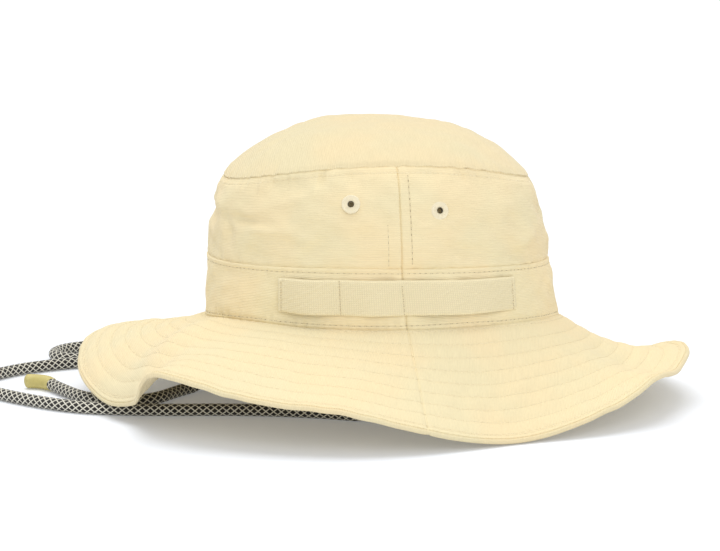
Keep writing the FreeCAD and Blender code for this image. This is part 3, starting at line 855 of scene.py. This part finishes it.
def make_inside():
    whole = (180.3, 539.7, 420)
    lower = (-0.03, -0.022, 0.0, 0.05, 0.12, 0.2, 0.3, 0.4, 0.5, 0.6, 0.68, 0.72, 0.752)
    rows = rows_on(band, *lower, SWEATBAND_TOP)
    obj = lining("sweatband_twill", whole, rows, 1.0, SWEATBAND_TWILL, "sweatband")
    rows = rows_on(band, 0.86, 0.865, 0.91, 0.955) + rows_on(wall, 0.03, 0.06, 0.095, 0.10)
    lining("band_tape", whole, rows, 0.6, TAPE_CLOTH, "band_seam_tape", 0.15)
    rows = rows_on(wall, 0.84, 0.845, 0.88, 0.92, 0.95, 0.955)
    lining("tip_tape", whole, rows, 0.6, TAPE_CLOTH, "tip_seam_tape", 0.15)
    rows = rows_on(wall, *np.linspace(0.13, 0.82, 30))
    for side, span in (("right", (86.5, 93.5, 14)), ("left", (266.5, 273.5, 14))):
        lining("side_tape_" + side, span, rows, 0.6, TAPE_CLOTH, "side_seam_tape_" + side)


# ---- webbing
def webbing_lift(degrees):
    """Stand-off of the webbing from the band: slack loops between the rows of tacking."""
    lift = np.full(np.shape(degrees), 0.3)
    for low, high, slack in zip(WEBBING_TACKS, WEBBING_TACKS[1:], WEBBING_SLACK):
        inside = (degrees >= low) & (degrees <= high)
        lift = lift + np.where(inside, slack * np.sin(math.pi * (degrees - low) / (high - low)) ** 2, 0.0)
    return lift


def tack_distance(degrees):
    return np.min([np.abs(degrees - d) for d in WEBBING_TACKS], axis=0) * math.radians(1.0) * CROWN_MEAN


def webbing(a, s, offset):
    """The webbing on either side of the hat: share s up its own width, offset out from its inner face."""
    degrees = np.degrees(a) % 360.0
    degrees = np.where(degrees > 180.0, 360.0 - degrees, degrees)
    slack = webbing_lift(degrees)
    share = WEBBING_LOW + (WEBBING_HIGH - WEBBING_LOW) * s
    droop = -0.003 * (slack - 0.3) * (1.0 - 0.4 * s)
    belly = slack * (1.0 - 0.35 * s)
    squared = math.radians(1.7) * (1.0 - s) * ease((62.0 - degrees) / 12.0)
    a = a + np.where(np.degrees(a) % 360.0 > 180.0, -squared, squared)
    pressed = 0.45 * bump(tack_distance(degrees), 1.1)
    along = along_crown(a)
    waver = 0.10 * pucker(along, 9, 24, 51) + 0.06 * pucker(along + 40.0 * s, 4, 9, 52)
    return band_plain(a, share + droop, 0.35 + belly + waver + offset * (1.0 - 0.35 * pressed) - 0.3 * pressed)


def make_webbing():
    for side, low, high in (("right", 48.8, 131.2), ("left", 228.8, 311.2)):
        a = np.radians(np.linspace(low, high, 330))[:, None]
        s = np.linspace(0.0, 1.0, 48)[None, :]
        selvedge = 1.0 - 0.45 * bump(s, 0.035) - 0.45 * bump(1.0 - s, 0.035)
        u = along_crown(a)
        v = WEBBING_WIDTH * s
        weave = 0.07 * np.sin(2 * math.pi * u / WARP_PITCH) * np.sin(2 * math.pi * v / WEFT_PITCH)
        outer = webbing(a, s, WEBBING_THICK * selvedge + weave)
        inner = webbing(a, s, 0.25 * (1.0 - selvedge))
        uv = stacked(u, v)
        obj = thick_cloth("webbing_" + side, outer, inner, uv, WEBBING_CLOTH)
        hat_piece(obj, ["branch_webbing_" + side])


# ---- sewing thread
def stitch_row(surface, a, s, level, pitch=STITCH_PITCH, length=STITCH_LENGTH):
    """Points and uv of the stitches along a path on a surface; a and s are arrays along the path."""
    path = surface(a[:, None], s[:, None], np.full((len(a), 1), level))[:, 0]
    above = surface(a[:, None], s[:, None], np.full((len(a), 1), level + 0.5))[:, 0]
    normal = above - path
    normal /= np.linalg.norm(normal, axis=1, keepdims=True)
    run = np.concatenate([[0.0], np.cumsum(np.linalg.norm(np.diff(path, axis=0), axis=1))])
    starts = np.arange(0.3, run[-1] - length, pitch)
    shares = np.array([0.0, 0.15, 0.5, 0.85, 1.0])
    rise = np.array([-0.04, 0.03, 0.06, 0.03, -0.04])
    thick = np.array([1.2, 1.0, 1.0, 1.0, 1.2]) * THREAD_R
    starts = starts + np.random.default_rng(len(a)).uniform(-0.15, 0.15, len(starts))
    places = starts[:, None] + shares[None, :] * length
    centre = np.stack([np.interp(places, run, path[:, k]) for k in range(3)], -1)
    up = np.stack([np.interp(places, run, normal[:, k]) for k in range(3)], -1)
    forward = np.gradient(centre, axis=1)
    across = np.cross(forward, up)
    across /= np.linalg.norm(across, axis=-1, keepdims=True)
    turn = np.arange(6) * math.pi / 3
    ring = (across[:, :, None] * np.cos(turn)[:, None] + up[:, :, None] * np.sin(turn)[:, None])
    points = centre[:, :, None] + up[:, :, None] * rise[None, :, None, None] + ring * thick[None, :, None, None]
    # v runs 0 to 1 along each stitch; the thread material paints its ends dark as shade in the needle holes.
    uv = stacked(np.arange(6) * 0.25, (0.0 * starts[:, None] + shares)[..., None])
    return points, uv


def sew(name, rows, nodes=(), thread=THREAD):
    """One object from several rows of stitches."""
    stations, sides = 5, 6
    count = sum(len(p) for p, _ in rows)
    points = np.concatenate([p for p, _ in rows]).reshape(-1, 3)
    uv = np.concatenate([t for _, t in rows]).reshape(-1, 2)
    base = (np.arange(count) * stations * sides)[:, None, None]
    i = np.arange(stations - 1)[None, :, None]
    j = np.arange(sides)[None, None, :]
    k = (j + 1) % sides
    quad = stacked(
        base + i * sides + j, base + i * sides + k, base + (i + 1) * sides + k, base + (i + 1) * sides + j)
    faces = quad.reshape(-1, 4).tolist()
    for start in base.ravel():
        faces.append([int(start) + q for q in range(sides)][::-1])
        faces.append([int(start) + (stations - 1) * sides + q for q in range(sides)])
    return hat_piece(new_object(name, points, faces, uv, thread), list(nodes))


def level_row(surface, s, level, seed, wander=0.0):
    """Stitches at the same share or distance all the way round."""
    a = np.radians(np.linspace(0.0, 360.0, 722))
    return stitch_row(surface, a, s + wander * pucker(along_crown(a), 25, 90, seed, 5), level)


def under_brim(a, e, w):
    return brim(a, e, w, -1.0)


def climbing_row(surface, degrees, low, high, level, **sizes):
    """Stitches up a surface at one azimuth."""
    s = np.linspace(low, high, 60)
    return stitch_row(surface, np.full(60, math.radians(degrees)), s, level, **sizes)


def make_sewing():
    brim_rows = [FIRST_ROW + ROW_PITCH * k for k in range(ROWS)] + [EDGE_ROW]
    for name, surface, level in (("upper", brim, 1.10), ("under", under_brim, 1.35)):
        rows = [level_row(surface, e, level, 60 + k, 0.12) for k, e in enumerate(brim_rows)]
        sew("brim_sewing_" + name, rows, thread=QUILT_THREAD)
    tip_row = level_row(wall, 1.0 - 3.2 / WALL_HEIGHT, -0.05, 73, 0.002)
    sew("tip_seam_sewing", [tip_row], thread=QUILT_THREAD)
    rows = [
        level_row(band, 2.7 / BAND_HEIGHT, 0.15, 71, 0.003),
        level_row(band, 1.0 - 2.3 / BAND_HEIGHT, 0.15, 72, 0.003),
    ]
    for side in (90.0, 270.0):
        front = -1.0 if side < 180.0 else 1.0
        rows.append(climbing_row(wall, side + front * 3.3, 0.05, 0.94, 0.02))
        rows.append(climbing_row(wall, side - front * 4.2, 0.03, 0.45, -0.10))
        rows.append(climbing_row(band, side + front * 3.3, 0.86, 0.93, 0.15))
        rows.append(climbing_row(band, side - front * 4.2, 0.86, 0.95, 0.15))
    sew("crown_sewing", rows)
    for side in ("right", "left"):
        rows = []
        for degrees in WEBBING_TACKS:
            place = degrees if side == "right" else 360.0 - degrees
            rows.append(climbing_row(webbing, place, 0.03, 0.97, WEBBING_THICK + 0.05, pitch=2.7, length=2.0))
        sew("webbing_sewing_" + side, rows, nodes=["bar_tacks_" + side])
    sew("sweatband_sewing", [level_row(band, s, -2.42, 75) for s in (0.03, 0.70)])


# ---- eyelets
# radius and height of the ring's section, from its inner flange through the hole to its outer rim
EYELET_PROFILE = (
    (4.2, -1.2), (3.9, -1.75), (2.6, -1.9), (1.75, -1.6), (1.55, -0.8),
    (1.60, 0.25), (1.85, 0.62), (2.3, 0.78), (2.9, 0.66), (3.5, 0.55),
    (4.1, 0.58), (4.6, 0.66), (4.95, 0.50), (5.2, 0.12), (5.15, -0.5),
)


def make_eyelet(side, place, degrees, share):
    """Overcast thread ring, with its flange inside the crown."""
    a = np.radians([[degrees]])
    s = np.array([[share]])
    centre = wall(a, s, np.zeros((1, 1)))[0, 0]
    along = wall_plain(a + 0.01, s, 0.0)[0, 0] - wall_plain(a - 0.01, s, 0.0)[0, 0]
    rise = wall_plain(a, s + 0.01, 0.0)[0, 0] - wall_plain(a, s - 0.01, 0.0)[0, 0]
    normal = np.cross(rise, along)
    normal /= np.linalg.norm(normal)
    rise /= np.linalg.norm(rise)
    across = np.cross(rise, normal)
    turn = np.linspace(0, 2 * math.pi, 240, endpoint=False)[:, None]
    radius, height = np.array(EYELET_PROFILE).T[:, None, :]
    wraps = 46
    overcast = 0.20 * ease((height + 0.2) / 0.4) * np.abs(np.sin(wraps * turn / 2))
    uneven = 0.06 * np.sin(3 * turn + degrees) + 0.05 * np.sin(7 * turn + 2.0)
    radius = radius + (uneven + 0.05 * np.sin(wraps * turn)) * ease((radius - 3.0) / 1.5)
    height = height + overcast
    grid = (centre + across * (radius * np.cos(turn))[..., None] + rise * (radius * np.sin(turn))[..., None]
            + normal * (height + 0.0 * turn)[..., None])
    # v falls to 0 down in the hole and under the flange, where the thread's dark hole colour is painted shade.
    from_hole = 0.5 * ease((radius - 1.5) / 0.9) * ease((height + 1.0) / 0.4)
    uv = stacked(turn * 3.0, from_hole)
    faces = grid_faces(*grid.shape[:2], wrap=True)
    name = "eyelet_thread_%s_%s" % (side, place)
    obj = new_object(name, grid.reshape(-1, 3), faces, uv.reshape(-1, 2), EYELET_THREAD)
    return hat_piece(obj, ["eyelet_%s_%s" % (side, place)])


# ---- cords
LOCK_Z = 14.0
LOCK_X = -95.0
X_IN = LOCK_X - 5.75
X_OUT = LOCK_X + 5.75
FLOOR = 3.6
ANCHOR_Z = 46.0
CORD_RIGHT = (
    (0, -79.5, ANCHOR_Z), (0, -79.5, 24), (-18, -73, FLOOR), (-38, -61, FLOOR), (-66, -49.5, FLOOR),
    (-97, -42, FLOOR), (-128, -38.5, FLOOR), (-157, -32, FLOOR), (-184, -19.5, FLOOR), (-212, 9, FLOOR),
    (-232, 37, FLOOR), (-234, 67, FLOOR), (-212, 92.5, FLOOR), (-188, 105, FLOOR), (-165, 112, FLOOR),
    (-141, 115, FLOOR), (-116, 117, FLOOR), (X_IN, 98, LOCK_Z), (X_IN, 50, LOCK_Z), (-103, 30, FLOOR),
    (-119, 13, FLOOR), (-133, -7, FLOOR), (-152.5, -12.5, FLOOR), (-170.5, -1, FLOOR), (-181.5, 19, FLOOR),
    (-190.5, 40.5, 4.3),
)
CORD_LEFT = (
    (0, 79.5, ANCHOR_Z), (0, 79.5, 24), (-18, 85, FLOOR), (-42, 99, FLOOR), (-70, 118, FLOOR),
    (-98, 142, FLOOR), (-125, 160, FLOOR), (-153, 167, FLOOR), (-179, 158, FLOOR), (-189, 137, FLOOR),
    (-175, 119, FLOOR), (-145, 124.5, FLOOR), (-107, 128, FLOOR), (X_OUT, 99, LOCK_Z),
    (X_OUT, 51, LOCK_Z), (-87, 25, FLOOR), (-80, 1, 4.3),
)


def route(name, points):
    """Points in mm along the smooth curve that has these control points."""
    curve = bpy.data.curves.new(name, "CURVE")
    curve.dimensions = "3D"
    curve.resolution_u = 24
    spline = curve.splines.new("NURBS")
    spline.points.add(len(points) - 1)
    for point, corner in zip(spline.points, points):
        point.co = (*corner, 1.0)
    spline.order_u = 3
    spline.use_endpoint_u = True
    obj = bpy.data.objects.new(name, curve)
    bpy.context.scene.collection.objects.link(obj)
    bpy.context.view_layer.update()
    mesh = bpy.data.meshes.new_from_object(obj.evaluated_get(bpy.context.evaluated_depsgraph_get()))
    line = np.array([v.co[:] for v in mesh.vertices])
    bpy.data.objects.remove(obj)
    bpy.data.curves.remove(curve)
    bpy.data.meshes.remove(mesh)
    return line


def spaced(line, step):
    """The line with its points step mm apart, and their distances along it."""
    run = np.concatenate([[0.0], np.cumsum(np.linalg.norm(np.diff(line, axis=0), axis=1))])
    places = np.linspace(0.0, run[-1], int(run[-1] / step) + 1)
    return np.stack([np.interp(places, run, line[:, k]) for k in range(3)], -1), places


def carried_frames(line):
    """Two directions across the line at each point, carried along without twisting."""
    tangent = np.gradient(line, axis=0)
    tangent /= np.linalg.norm(tangent, axis=1, keepdims=True)
    side = np.cross(tangent[0], [0.3, 0.2, 0.9])
    sides = []
    for t in tangent:
        side = side - t * (side @ t)
        side = side / np.linalg.norm(side)
        sides.append(side)
    sides = np.array(sides)
    return sides, np.cross(tangent, sides)


def tube(name, line, places, turns, radius, material):
    """Closed tube; radius has one value for each point of the line and each side."""
    side, other = carried_frames(line)
    around = np.arange(turns) * 2 * math.pi / turns
    grid = (line[:, None] + side[:, None] * (radius * np.cos(around))[..., None]
            + other[:, None] * (radius * np.sin(around))[..., None])
    grid = np.concatenate([grid, grid[:, :1]], 1)
    share = np.arange(turns + 1) / turns
    uv = stacked(share[None, :], places[:, None])
    rows, columns = grid.shape[:2]
    faces = grid_faces(rows, columns, flip=True)
    faces.append(list(range(turns)))
    faces.append([(rows - 1) * columns + j for j in range(turns)][::-1])
    return new_object(name, grid.reshape(-1, 3), faces, uv.reshape(-1, 2), material)


CORD_SIDES = 48


def braided_cord(name, points, node):
    line, places = spaced(route(name + "_route", points), 0.55)
    share = (np.arange(CORD_SIDES) / CORD_SIDES)[None, :] * DIAMONDS_ROUND
    advance = places[:, None] / DIAMOND_LENGTH
    one = np.abs(np.sin(math.pi * (share + advance)))
    other = np.abs(np.sin(math.pi * (share - advance)))
    lattice = np.minimum(one, other)
    radius = CORD_R - 0.28 + 0.30 * np.sqrt(one * other) + 0.20 * bump(lattice, 0.32)
    obj = tube(name, line, places, CORD_SIDES, radius, BRAID)
    hat_piece(obj, [node])
    return obj, line, float(places[-1])


def rubber_tip(name, corners, node):
    """Moulded end sleeve on a smooth bend through three points, finely ringed, with rounded ends."""
    start, corner, end = np.array(corners, float)
    t = np.linspace(0.0, 1.0, 80)[:, None]
    line = (1 - t) ** 2 * start + 2 * t * (1 - t) * corner + t * t * end
    line, places = spaced(line, 0.22)
    total = places[-1]
    from_end = np.minimum(places + 0.9, total - places)
    rounded = np.sqrt(np.clip(1.0 - (1.0 - np.clip(from_end / 2.6, 0.0, 1.0)) ** 2, 0.02, 1.0))
    neck = 1.0 - 0.07 * bump(places - 2.2, 1.4)
    rings = 0.07 * np.sin(2 * math.pi * places / 0.95) * ease(from_end / 3.0)
    radius = ((TIP_R - 0.05) * rounded * neck + rings)[:, None] * np.ones((1, 40))
    obj = tube(name, line, places, 40, radius, RUBBER)
    return hat_piece(obj, [node])


def turned_tip(points, runs, degrees):
    """Corners of a tip that goes on from a cord's end and turns left, as in the CAD."""
    start = np.array(points[-1], float)
    ahead = start - np.array(points[-2], float)
    ahead /= np.linalg.norm(ahead)
    corner = start + ahead * runs[0]
    level = ahead[:2] / np.linalg.norm(ahead[:2])
    c = math.cos(math.radians(degrees))
    s = math.sin(math.radians(degrees))
    turned = np.array([level[0] * c - level[1] * s, level[0] * s + level[1] * c, -0.01])
    return start, corner, corner + turned / np.linalg.norm(turned) * runs[1]


def anchor_tab(side, sign):
    """Folded tape tab sewn inside the crown, wrapped where the cord leaves it."""
    height = np.linspace(0.0, 1.0, 40)
    z = ANCHOR_Z + 24.0 * height
    swell = 1.0 - ease((height - 0.18) / 0.22)
    half_x = 6.0 - 1.7 * swell
    half_y = 0.65 + (4.3 - 0.65) * swell
    middle = -(82.15 - (82.15 - 79.5) * swell)
    cap = np.sqrt(np.clip(1.0 - (1.0 - np.minimum(height, 1.0 - height) / 0.03) ** 2, 0.15, 1.0))
    cap = np.where(np.minimum(height, 1.0 - height) < 0.03, cap, 1.0)
    turn = np.arange(48) * 2 * math.pi / 48
    power = (0.45 + 0.55 * swell)[:, None]
    x = (half_x * cap)[:, None] * np.sign(np.cos(turn)) * np.abs(np.cos(turn)) ** power
    y = (half_y * cap)[:, None] * np.sign(np.sin(turn)) * np.abs(np.sin(turn)) ** power
    wrap = (1.0 + 0.02 * np.sin(2 * math.pi * z / 0.8) * swell)[:, None]
    grid = np.stack([x * wrap, sign * (middle[:, None] + y * wrap), np.broadcast_to(z[:, None], x.shape)], -1)
    if sign < 0:
        grid = grid[:, ::-1]
    uv = stacked(turn[None, :] * 4.0, z[:, None])
    rows, columns = grid.shape[:2]
    grid = np.concatenate([grid, grid[:, :1]], 1)
    uv = np.concatenate([uv, uv[:, :1]], 1)
    faces = grid_faces(rows, columns + 1)
    faces.append(list(range(columns)))
    faces.append([(rows - 1) * (columns + 1) + j for j in range(columns)])
    obj = new_object("anchor_tab_" + side, grid.reshape(-1, 3), faces, uv.reshape(-1, 2), WEBBING_CLOTH)
    tidy_normals(obj)
    return hat_piece(obj, ["cord_anchor_" + side])


def make_cords():
    lock = [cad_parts[n] for n in ("lock_body", "lock_button", "lock_spring")]
    route = turned_tip(CORD_RIGHT, (12.0, 11.5), 68.0)
    tip_right = rubber_tip("cord_tip_rubber_right", route, "cord_tip_right")
    start = np.array(CORD_LEFT[-1])
    ahead = start - np.array(CORD_LEFT[-2])
    ahead[2] = 0.0
    end = start + ahead / np.linalg.norm(ahead) * 28.0
    tip_left = rubber_tip("cord_tip_rubber_left", (start, (start + end) / 2, end), "cord_tip_left")
    for side, points, pieces in (("right", CORD_RIGHT, [tip_right] + lock), ("left", CORD_LEFT, [tip_left])):
        obj, line, length = braided_cord("braided_cord_" + side, points, "cord_" + side)
    anchor_tab("right", 1.0)
    anchor_tab("left", -1.0)


def finish_lock():
    for node, material in (("lock_body", PLASTIC), ("lock_button", PLASTIC), ("lock_spring", STEEL)):
        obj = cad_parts[node]
        for slot in obj.material_slots:
            slot.material = material


# ---- camera, floor and light
def make_stage():
    scene = bpy.context.scene
    floor_mesh = bpy.data.meshes.new("floor")
    half = 20.0
    corners = [(-half, -half, 0), (half, -half, 0), (half, half, 0), (-half, half, 0)]
    floor_mesh.from_pydata(corners, [], [(0, 1, 2, 3)])
    floor = bpy.data.objects.new("floor", floor_mesh)
    scene.collection.objects.link(floor)
    paint = Graph("floor_paint", roughness=0.9, specular=0.0)
    paint.colour((0.76, 0.785, 0.83, 1.0))
    paint.shader.inputs["Emission Color"].default_value = (1.0, 1.0, 1.0, 1.0)
    paint.shader.inputs["Emission Strength"].default_value = 0.15
    floor_mesh.materials.append(paint.material)

    world = bpy.data.worlds.new("studio")
    scene.world = world
    world.use_nodes = True
    world.node_tree.nodes["Background"].inputs["Color"].default_value = (1.0, 1.0, 1.0, 1.0)
    world.node_tree.nodes["Background"].inputs["Strength"].default_value = 0.72
    scene.view_settings.view_transform = "Standard"

    ceiling = bpy.data.lights.new("ceiling_light", "SUN")
    ceiling.angle = math.radians(50.0)
    ceiling.energy = 1.55
    front = bpy.data.lights.new("front_light", "AREA")
    front.shape = "DISK"
    front.size = 1.4
    front.energy = 9.0
    for light, place in ((ceiling, (-0.18, 0.42, 1.9)), (front, (0.1, -1.7, 0.9))):
        lamp = bpy.data.objects.new(light.name, light)
        lamp.location = place
        lamp.rotation_euler = (Vector((0, 0, 0.07)) - Vector(place)).to_track_quat("-Z", "Y").to_euler()
        scene.collection.objects.link(lamp)


VIEW_AZIMUTH = math.radians(-9.0)
VIEW_ELEVATION = math.radians(9.0)
VIEW_DISTANCE = 1.5
SENSOR = 36.0              # width in mm
LENS = 129.225
SHIFT = (-0.03125, -0.00972222)   # in widths of the picture


def make_camera():
    back = Vector((math.sin(VIEW_AZIMUTH) * math.cos(VIEW_ELEVATION),
                   -math.cos(VIEW_AZIMUTH) * math.cos(VIEW_ELEVATION), math.sin(VIEW_ELEVATION)))
    target = Vector(metres((0.0, 0.0, 75.0)))
    data = bpy.data.cameras.new("camera")
    data.sensor_width = SENSOR
    data.lens = LENS
    data.shift_x, data.shift_y = SHIFT
    data.clip_end = 100.0
    camera = bpy.data.objects.new("camera", data)
    camera.location = target + back * VIEW_DISTANCE
    camera.rotation_euler = (-back).to_track_quat("-Z", "Y").to_euler()
    bpy.context.scene.collection.objects.link(camera)
    bpy.context.scene.camera = camera


make_camera()
make_stage()
make_cords()
finish_lock()
make_brim()
make_wall()
make_band()
make_tip()
make_inside()
make_webbing()
make_sewing()
for place, azimuth, share in EYELETS:
    make_eyelet("right", place, azimuth, share)
    make_eyelet("left", place, 360.0 - azimuth, share)
